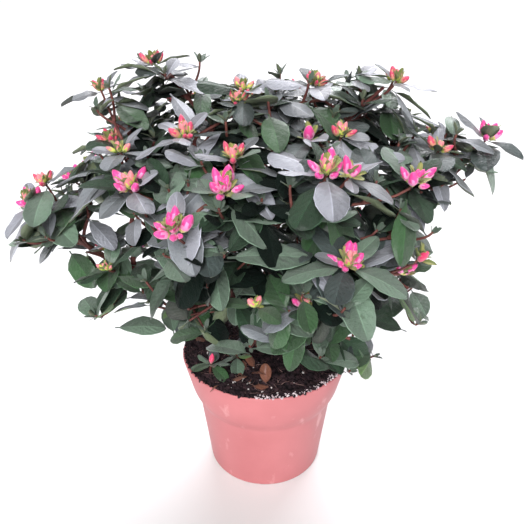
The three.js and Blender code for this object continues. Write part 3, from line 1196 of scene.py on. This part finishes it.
# How many more scales than buds a cluster has, and their rise in degrees.
SCALES_OVER = 8
SCALE_RISES = (15, 80)
# The small folded leaves at a tip without buds.
TIP_LEAVES = 4
TIP_LIFTS = (35, 75)
TIP_LENGTHS = (6, 12)
SPROUT_LEAVES = 8
SPROUT_LIFT = 14
# A twig's bend, as shares of its span: a seeded swing, and how far it keeps the direction of
# its fork and of its tip.
TWIG_SWING = 0.08
TWIG_HOLD = (0.3, 0.4)
# How far out in the box of a mass the tips of its sprigs may lie.
SPOT_REACH = 0.8
# Single leaves: where they stand along a twig and along a limb, how much their axis rises,
# their greatest lift or dip in degrees, and their lengths and shapes.
TWIG_STRETCH = (0.3, 0.7)
LIMB_STRETCH = (0.5, 0.97)
SIDE_RISE = 0.4
SIDE_LIFT = 25
SIDE_LENGTHS = (0.65, 0.95)
SIDE_SHAPES = ("common", "broad")
# The twigs of the core: where they leave a limb, how far they turn aside and rise, how far
# they run straight, and the size of their leaves.
CORE_STRETCH = (0.3, 0.85)
CORE_SPREAD = 0.8
CORE_RISE = 0.4
CORE_START = 4 * MM
CORE_SIZE = 0.85
# Places along a leaf that are tested for a cluster of buds.
LEAF_PROBES = np.array([0.3, 0.65, 1.0])[:, None]


class Growth:
    """Everything that grows in the masses of leaves."""

    def __init__(self, paths):
        self.paths = paths
        self.leaves = {tier: [] for tier in TIERS}
        self.buds = []
        self.scales = []
        self.twigs = []
        self.grown = {mass: [] for mass in MASSES}
        self.top = max(middle_of(mass)[2] for mass in MASSES)
        self.crown = crown_tree()
        self.clusters = {mass: clusters_of(mass) for mass in MASSES}
        tips = [tip for row in self.clusters.values() for tip, _, _ in row]
        tips += [sprout_tip(bearing, reach) for bearing, reach, _, count in SPROUTS if count]
        self.bud_tips = np.array(tips)

    def tier_of(self, mass):
        """The tier of the foliage that a mass counts in."""
        return tier_at(middle_of(mass)[2])

    def carrier(self, mass):
        """The limb that a mass's twigs grow from: its own, or the nearest one below it."""
        if mass in self.paths:
            return self.paths[mass], LIMB_SHARE
        middle = middle_of(mass)
        best = None
        for path in self.paths.values():
            for step in range(int(BORROWED_FROM * LIMB_STEPS), LIMB_STEPS + 1):
                gap = np.linalg.norm(middle - path[step])
                if middle[2] - path[step][2] <= BORROWED_DROP:
                    gap += NOT_BELOW
                if best is None or gap < best[0]:
                    best = (gap, path, step / LIMB_STEPS)
        return best[1], best[2]

    def tint(self, point, lift, rng):
        """A leaf's tint: silvery with painted sheen where it lies open to the sky, greener lower
        down.
        """
        height = (point[2] - LOW_CROWN) / (self.top - LOW_CROWN)
        if height < GREEN_BELOW:
            lie = "low"
        elif lift < HANGING_LIFT:
            lie = "hanging"
        else:
            lie = "open" if height > PAINTED_SHEEN_ABOVE else "half_open"
        return drawn(TINT_SHARES[lie], rng)

    def shade(self, point):
        """The row of tint shares for a leaf with painted shade at a point."""
        if np.hypot(point[0], point[1]) > OPEN_REACH:
            return "hanging"
        return "low_inside" if point[2] < LOW_SHADE else "inside"

    def proud_of(self, point):
        """How far a point lies outside the masses of leaves; below zero inside one."""
        place = Vector(point.tolist())
        spot, normal, _, gap = self.crown.find_nearest(place)
        return math.copysign(gap, (place - spot).dot(normal))

    def hides_buds(self, foot, along, length, own=None):
        """True if a leaf runs through a cluster of buds other than its own shoot's."""
        spots = foot + along * length * LEAF_PROBES
        tips = self.bud_tips
        if own is not None:
            tips = tips[np.linalg.norm(tips - own, axis=1) > BUD_CLEARANCE]
        gaps = np.linalg.norm(tips[:, None] - spots[None], axis=2)
        return bool((gaps < BUD_CLEARANCE).any())

    def add_leaf(self, tier, foot, along, axis, length, shape, tint, rng):
        """One leaf, in one of the variants of its shape."""
        up = unit(LEAF_TO_AXIS * axis + LEAF_TO_SKY * UP + LEAF_TURN * rng.normal(size=3))
        if abs(np.dot(unit(along), up)) > 0.95:
            up = axis
        shape = (shape, rng.integers(len(LEAF_SHAPES[shape])))
        self.leaves[tier].append(Leaf(foot, along, up, length, shape, tint))

    def add_whorl(self, tier, tip, axis, leaves, proud, rng):
        """The leaves round a shoot's tip that keep within the masses and off the buds.
        Returns how many there are."""
        kept = 0
        for bearing, lift, length, shape, tint in leaves:
            along = whorl_direction(axis, bearing, lift)
            below = WHORL_DROP + HANG_DROP * max(0, -lift) * MM
            foot = tip - axis * below + across(along, axis) * FOOT_GAP * MM
            tint = tint or self.tint(foot, lift, rng)
            inside = self.proud_of(foot + along * length) < proud
            if inside and not self.hides_buds(foot, along, length, own=tip):
                self.add_leaf(tier, foot, along, axis, length, shape, tint, rng)
                kept += 1
        return kept

    def seeded_whorl(self, size, rng, count, lie=None):
        """Leaves at a golden angle, longer and lower from the tip outwards."""
        phase = rng.uniform(0, 360)
        leaves = []
        for i in range(count):
            share = i / (count - 1)
            bearing = phase + GOLDEN_ANGLE * i + rng.normal(0, 8)
            lift = WHORL_LIFT - WHORL_FALL * share + rng.normal(0, 6)
            grown = INMOST_LEAF + (1 - INMOST_LEAF) * min(1, 1.5 * share)
            length = size * LEAF_LENGTH * grown
            shape = drawn(SHAPE_SHARES, rng)
            tint = drawn(TINT_SHARES[lie], rng) if lie else None
            leaves.append((bearing, lift, length * rng.normal(1, 0.07), shape, tint))
        return leaves

    def add_buds(self, tip, axis, kind, count, rng):
        """A cluster of buds round a middle one, among pointed scales."""
        upright = unit(axis + CLUSTER_RISE * UP)
        outer, inner, size = BUD_CLUSTERS[kind]
        foot = tip - CLUSTER_DROP * axis
        middle = int(count > 2)
        for i in range(MIDDLE_BUDS * middle):
            lift = MIDDLE_LIFT + rng.normal(0, 4)
            along = whorl_direction(upright, 360 * i / MIDDLE_BUDS + 60, lift)
            length = BUD_LENGTH * size * rng.uniform(*MIDDLE_LENGTHS)
            self.buds.append(Bud(foot, along, length, inner))
        ring = count - middle
        for i in range(ring):
            bearing = 360 * (i + 0.5) / ring + rng.normal(0, 14)
            behind = 0.5 + 0.5 * math.cos(math.radians(bearing)) if middle else 1.0
            lift = OUTER_LIFT[0] + OUTER_LIFT[1] * behind + rng.normal(0, 9)
            along = whorl_direction(upright, bearing, lift)
            grown = OUTER_LENGTH[0] + OUTER_LENGTH[1] * behind
            length = BUD_LENGTH * size * grown * rng.normal(1, 0.12)
            spread = across(along, upright) * size * OUTER_SPREAD if middle else 0
            self.buds.append(Bud(foot + spread, along, length, outer))
        for i in range(SCALES_OVER + count):
            rise = rng.uniform(*SCALE_RISES)
            along = whorl_direction(upright, GOLDEN_ANGLE * i, rise)
            length = size * (6 + 4 * rise / 90 + rng.uniform(-1, 2)) * MM
            self.scales.append((foot, along, axis, length, "young"))

    def add_tip(self, tip, axis, size, rng):
        """The small folded leaves at the end of a shoot without buds."""
        phase = rng.uniform(0, 360)
        for i in range(TIP_LEAVES):
            lift = rng.uniform(*TIP_LIFTS)
            along = whorl_direction(axis, phase + GOLDEN_ANGLE * i, lift)
            length = size * rng.uniform(*TIP_LENGTHS) * MM
            self.scales.append((tip - 2 * MM * axis, along, axis, length, "green"))

    def add_twig(self, mass, tip, axis, rng):
        """A twig to a shoot's tip, forked from the mass's limb or from an earlier twig on
        it, whichever passes nearest. Returns its path."""
        limb, share = self.carrier(mass)
        forks = [(limb, max(0.3, share - back)) for back in FORKS_BACK]
        forks += [(twig, along) for twig in self.grown[mass] for along in TWIG_FORKS]
        below = tip - axis * FORK_DROP
        gaps = [np.linalg.norm(at(path, along)[0] - below) for path, along in forks]
        path, along = forks[int(np.argmin(gaps))]
        start, heading = at(path, along)
        gap = np.linalg.norm(tip - start)
        swing = TWIG_SWING * gap * rng.normal(size=3)
        first = start + heading * TWIG_HOLD[0] * gap + swing
        last = tip - axis * TWIG_HOLD[1] * gap
        twig = evened(bezier([start, first, last, tip], 24), TWIG_STEPS)
        self.twigs.append(twig)
        self.grown[mass].append(twig)
        return twig

    def lean(self, tip):
        """A shoot's axis: up, leaning out from the plant's middle, more so lower down."""
        outwards = tip * np.array([1, 1, 0])
        reach = np.linalg.norm(outwards)
        height = tip[2] / self.top
        tilt = min(1.0, reach / LEAN_REACH) * (LEAN_AT_SOIL - LEAN_LOSS * height)
        return unit(UP + outwards / max(reach, 1e-6) * tilt)

    def add_shoot(self, mass, tip, kind, count, size, rng):
        """A shoot that ends in a cluster of buds."""
        tier = self.tier_of(mass)
        axis = self.lean(tip)
        twig = self.add_twig(mass, tip, axis, rng)
        leaves = self.seeded_whorl(size, rng, rng.integers(*WHORL_LEAVES))
        self.add_whorl(tier, tip, axis, leaves, LEAF_PROUD, rng)
        self.add_buds(tip, axis, kind, count, rng)
        self.add_side_leaves(tier, twig, TWIG_STRETCH, size, rng)

    def add_sprig(self, mass, size, rng):
        """A leafy shoot without buds, in the dark tints of painted shade where it lies in the
        mass's inner half.
        """
        tip = self.free_spot(mass, rng)
        axis = self.lean(tip)
        tier = self.tier_of(mass)
        shaded = np.dot(tip - middle_of(mass), axis) < SHADE_LEVEL[tier]
        leaves = self.seeded_whorl(size, rng, SPRIG_LEAVES, self.shade(tip) if shaded else None)
        if self.add_whorl(tier, tip, axis, leaves, SPRIG_PROUD, rng) >= FEWEST_LEAVES:
            self.add_twig(mass, tip, axis, rng)
            self.add_tip(tip, axis, 0.8, rng)

    def free_spot(self, mass, rng):
        """Of a few seeded points inside a mass, the one farthest from its shoots so far."""
        shares = rng.uniform(-SPOT_REACH, SPOT_REACH, (SPOT_TRIES, 3))
        spots = middle_of(mass) + half_of(mass) * shares
        tips = np.array([twig[-1] for twig in self.grown[mass]] or [middle_of(mass)])
        gaps = np.linalg.norm(spots[:, None] - tips[None], axis=2).min(axis=1)
        inside = np.array([self.proud_of(spot) < 0 for spot in spots])
        return spots[np.argmax(np.where(inside, gaps, 0.0))]

    def add_sprout(self, bearing, reach, size, count, rng):
        """A small leafy sprout that comes up from the soil."""
        tip = sprout_tip(bearing, reach)
        axis = unit(UP + 0.2 * rng.normal(size=3))
        foot = tip - axis * SPROUT_HEIGHT
        self.twigs.append(evened(bezier([foot, tip], 8), TWIG_STEPS))
        leaves = self.seeded_whorl(size, rng, SPROUT_LEAVES, "low")
        for side, lift, length, shape, tint in leaves:
            along = whorl_direction(axis, side, lift + SPROUT_LIFT)
            self.add_leaf("low", tip - axis * 2 * MM, along, axis, length, shape, tint, rng)
        if count:
            self.buds.append(Bud(tip - 1 * MM * axis, axis, 0.85 * BUD_LENGTH, "red"))
        else:
            self.add_tip(tip, axis, 0.6, rng)

    def add_side_leaves(self, tier, path, stretch, size, rng, gap=SIDE_LEAF_GAP):
        """Single leaves along a stretch of a twig or limb, spaced round it."""
        first, last = stretch
        length = np.linalg.norm(np.diff(path, axis=0), axis=1).sum()
        count = max(1, round((last - first) * length / gap))
        phase = rng.uniform(0, 360)
        for i in range(count):
            foot, heading = at(path, first + (last - first) * (i + 0.5) / count)
            axis = unit(heading + SIDE_RISE * UP)
            lift = rng.uniform(-SIDE_LIFT, SIDE_LIFT)
            along = whorl_direction(axis, phase + GOLDEN_ANGLE * i, lift)
            # Side leaves take the tints of painted shade, except far out from the plant's axis.
            tint = drawn(TINT_SHARES[self.shade(foot)], rng)
            reach = size * LEAF_LENGTH * rng.uniform(*SIDE_LENGTHS)
            shape = rng.choice(SIDE_SHAPES)
            inside = self.proud_of(foot + along * reach) < 0
            if inside and not self.hides_buds(foot, along, reach):
                self.add_leaf(tier, foot, along, axis, reach, shape, tint, rng)

    def add_core(self, path, rng):
        """Short twigs in the shade along a limb, each with a few dark leaves in tints of painted
        shade.
        """
        for _ in range(CORE_TWIGS):
            start, heading = at(path, rng.uniform(*CORE_STRETCH))
            axis = unit(heading + CORE_SPREAD * rng.normal(size=3) + CORE_RISE * UP)
            tip = start + axis * rng.uniform(*CORE_REACH)
            curve = bezier([start, start + heading * CORE_START, tip], 8)
            self.twigs.append(evened(curve, TWIG_STEPS))
            leaves = self.seeded_whorl(CORE_SIZE, rng, CORE_LEAVES, self.shade(tip))
            for bearing, lift, length, shape, tint in leaves:
                along = whorl_direction(axis, bearing, lift)
                end = tip + along * length
                hollow = np.hypot(end[0], end[1]) < CORE_RADIUS
                if self.proud_of(end) < (CORE_PROUD if hollow else 0.0):
                    self.add_leaf("middle", tip, along, axis, length, shape, tint, rng)

    def grow(self):
        """Grows the masses, then the leaves along the limbs, the crown's core and the sprouts."""
        for number, mass in enumerate(MASSES):
            rng = stream("masses", number)
            tier = self.tier_of(mass)
            for tip, kind, count in self.clusters[mass]:
                self.add_shoot(mass, tip, kind, count, SHOOT_SIZES[tier], rng)
            for _ in range(THIN_SPRIGS.get(mass, SPRIGS[tier])):
                self.add_sprig(mass, SHOOT_SIZES[tier], rng)
        for number, path in enumerate(self.paths.values()):
            tier = tier_at(path[-1][2])
            rng = stream("limbs", number)
            self.add_side_leaves(tier, path, LIMB_STRETCH, 1.0, rng, LIMB_LEAF_GAP)
        for number, name in enumerate(STEMS.values()):
            self.add_core(self.paths[name], stream("core", number))
        rng = stream("sprouts")
        for sprout in SPROUTS:
            self.add_sprout(*sprout, rng)


def make_foliage(growth, leaf_stocks):
    """The joined leaves, one piece for each tier, in place of its masses."""
    materials = []
    slots = {}
    for name, colour in LEAF_TINTS.items():
        slots[name] = len(materials)
        for part, share in LEAF_PARTS.items():
            tone = paler(colour, share)
            gloss = DULL_LEAVES.get(name, LEAF_GLOSS)
            skin = (tone, LEAF_ROUGHNESS, LEAF_SHEEN * gloss, gloss)
            materials.append(leaf_material(f"leaf_{name}_{part}", *skin))
    under = len(materials)
    for name, colour in (("underside", UNDERSIDE), ("underside_deep", UNDERSIDE_DEEP)):
        materials.append(leaf_material(f"leaf_{name}", colour, UNDERSIDE_ROUGHNESS, 0.1))
    for tier, leaves in growth.leaves.items():
        copies = []
        for count, leaf in enumerate(leaves):
            kind, number = leaf.shape
            stock = leaf_stocks[kind][number]
            first = slots[leaf.tint]
            below = under + (leaf.tint in DEEP_TINTS)
            points = placed(stock, leaf.foot, leaf.along, leaf.up, leaf.length)
            # One half of each leaf gets painted light and the other painted shade, on alternate
            # sides from leaf to leaf.
            near, far = (first, first + 1) if count % 2 else (first + 1, first)
            copies.append((points, stock, [near, first + 2, first + 3, below, far]))
        piece = joined(f"foliage_{tier}", copies, materials)
        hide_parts(*(f"leaves_{mass}" for mass in MASSES if growth.tier_of(mass) == tier))


def make_buds(growth):
    """The joined buds, and the joined scales and folded leaves round them."""
    materials = []
    slots = {}
    for kind, bands in BUD_BANDS.items():
        slots[kind] = len(materials)
        for part, colour in zip(("foot", "side", "tip"), bands):
            materials.append(petal_material(f"bud_{kind}_{part}", colour))
    stocks = [bud_stock(*sizes) for sizes in BUD_SHAPES]
    copies = []
    for number, bud in enumerate(growth.buds):
        stock = stocks[number % len(stocks)]
        side = across(np.array([0.3, 0.9, 0.4]), unit(bud.along))
        first = slots[bud.kind]
        points = placed(stock, bud.foot, bud.along, side, bud.length)
        copies.append((points, stock, [first, first + 1, first + 2]))
    joined("flower_buds", copies, materials)
    stock = leaf_stock(*LEAF_SHAPES["narrow"][0], steps=SCALE_ROWS)
    copies = []
    for foot, along, axis, length, age in growth.scales:
        slot_map = [0, 0, 1, 1, 1] if age == "young" else [2, 2, 3, 3, 2]
        copies.append((placed(stock, foot, along, axis, length), stock, slot_map))
    tones = {
        "bud_scale": YOUNG_LEAF,
        "bud_scale_edge": YOUNG_LEAF_TIP,
        "folded_leaf": LEAF_TINTS["sage"],
        "folded_leaf_edge": UNDERSIDE,
    }
    materials = [
        leaf_material(name, colour, SCALE_ROUGHNESS, LEAF_SHEEN) for name, colour in tones.items()
    ]
    joined("bud_scales", copies, materials)


def make_twigs(growth):
    """The joined twigs of the whole crown."""
    rod = rod_stock(TWIG_SIDES, TWIG_STEPS)
    copies = [bent(rod, path, TWIG_RADII) for path in growth.twigs]
    bark = bark_material("twig_bark", (84, 44, 42), (120, 72, 64), 260.0, 0.0003)
    joined("twigs", copies, [bark])


# ---------------------------------------------------------------- stage


def make_floor():
    """A wide white floor."""
    shape = bmesh.new()
    bmesh.ops.create_grid(shape, x_segments=1, y_segments=1, size=FLOOR_SIZE / 2)
    mesh = mesh_of("floor", shape, smooth=False)
    mesh.materials.append(plain_material("floor_white", FLOOR_TONE, Roughness=0.9)[0])
    floor = linked("floor", mesh)


def make_world():
    """A white backdrop for the camera, and a fainter fill light for everything else."""
    world = bpy.data.worlds.new("studio")
    world.use_nodes = True
    tree = world.node_tree
    seen = add_node(tree, "LightPath").outputs["Is Camera Ray"]
    fill, backdrop = (
        add_node(tree, "Background", WHITE | {"Strength": strength}).outputs["Background"]
        for strength in (FILL_LIGHT, BACKDROP_LIGHT)
    )
    # Sockets of the mix for shaders: 0 is the share of the second, 1 and 2 are the two.
    both = add_node(tree, "MixShader", {0: seen, 1: fill, 2: backdrop})
    tree.links.new(both.outputs["Shader"], tree.nodes["World Output"].inputs["Surface"])
    bpy.context.scene.world = world


def make_lamps():
    """The softboxes."""
    for name, (strength, spread, colour, turn) in SOFTBOXES.items():
        sun = bpy.data.lights.new(name, "SUN")
        sun.energy = strength
        sun.angle = math.radians(spread)
        sun.color = colour
        linked(name, sun).rotation_euler = [math.radians(angle) for angle in turn]


def make_camera():
    """The camera, and plain display colours."""
    lens = bpy.data.cameras.new("camera")
    lens.lens = CAMERA_LENS
    lens.sensor_width = SENSOR_WIDTH
    lens.clip_start = 0.01
    camera = linked("camera", lens)
    camera.location = CAMERA_PLACE
    camera.rotation_euler = (math.radians(90 - CAMERA_DIP), 0, 0)
    bpy.context.scene.camera = camera
    bpy.context.scene.view_settings.view_transform = "Standard"


# ---------------------------------------------------------------- making

MASSES = sorted(node[len("leaves_"):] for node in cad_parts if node.startswith("leaves_"))

LEAF_STOCKS = {
    kind: [leaf_stock(*sizes) for sizes in rows] for kind, rows in LEAF_SHAPES.items()
}
make_floor()
make_world()
make_lamps()
make_camera()
make_pot()
Soil(stream("soil")).make(LEAF_STOCKS)
limb_paths = make_limbs(stream("bark"))
growth = Growth(limb_paths)
growth.grow()
make_foliage(growth, LEAF_STOCKS)
make_buds(growth)
make_twigs(growth)
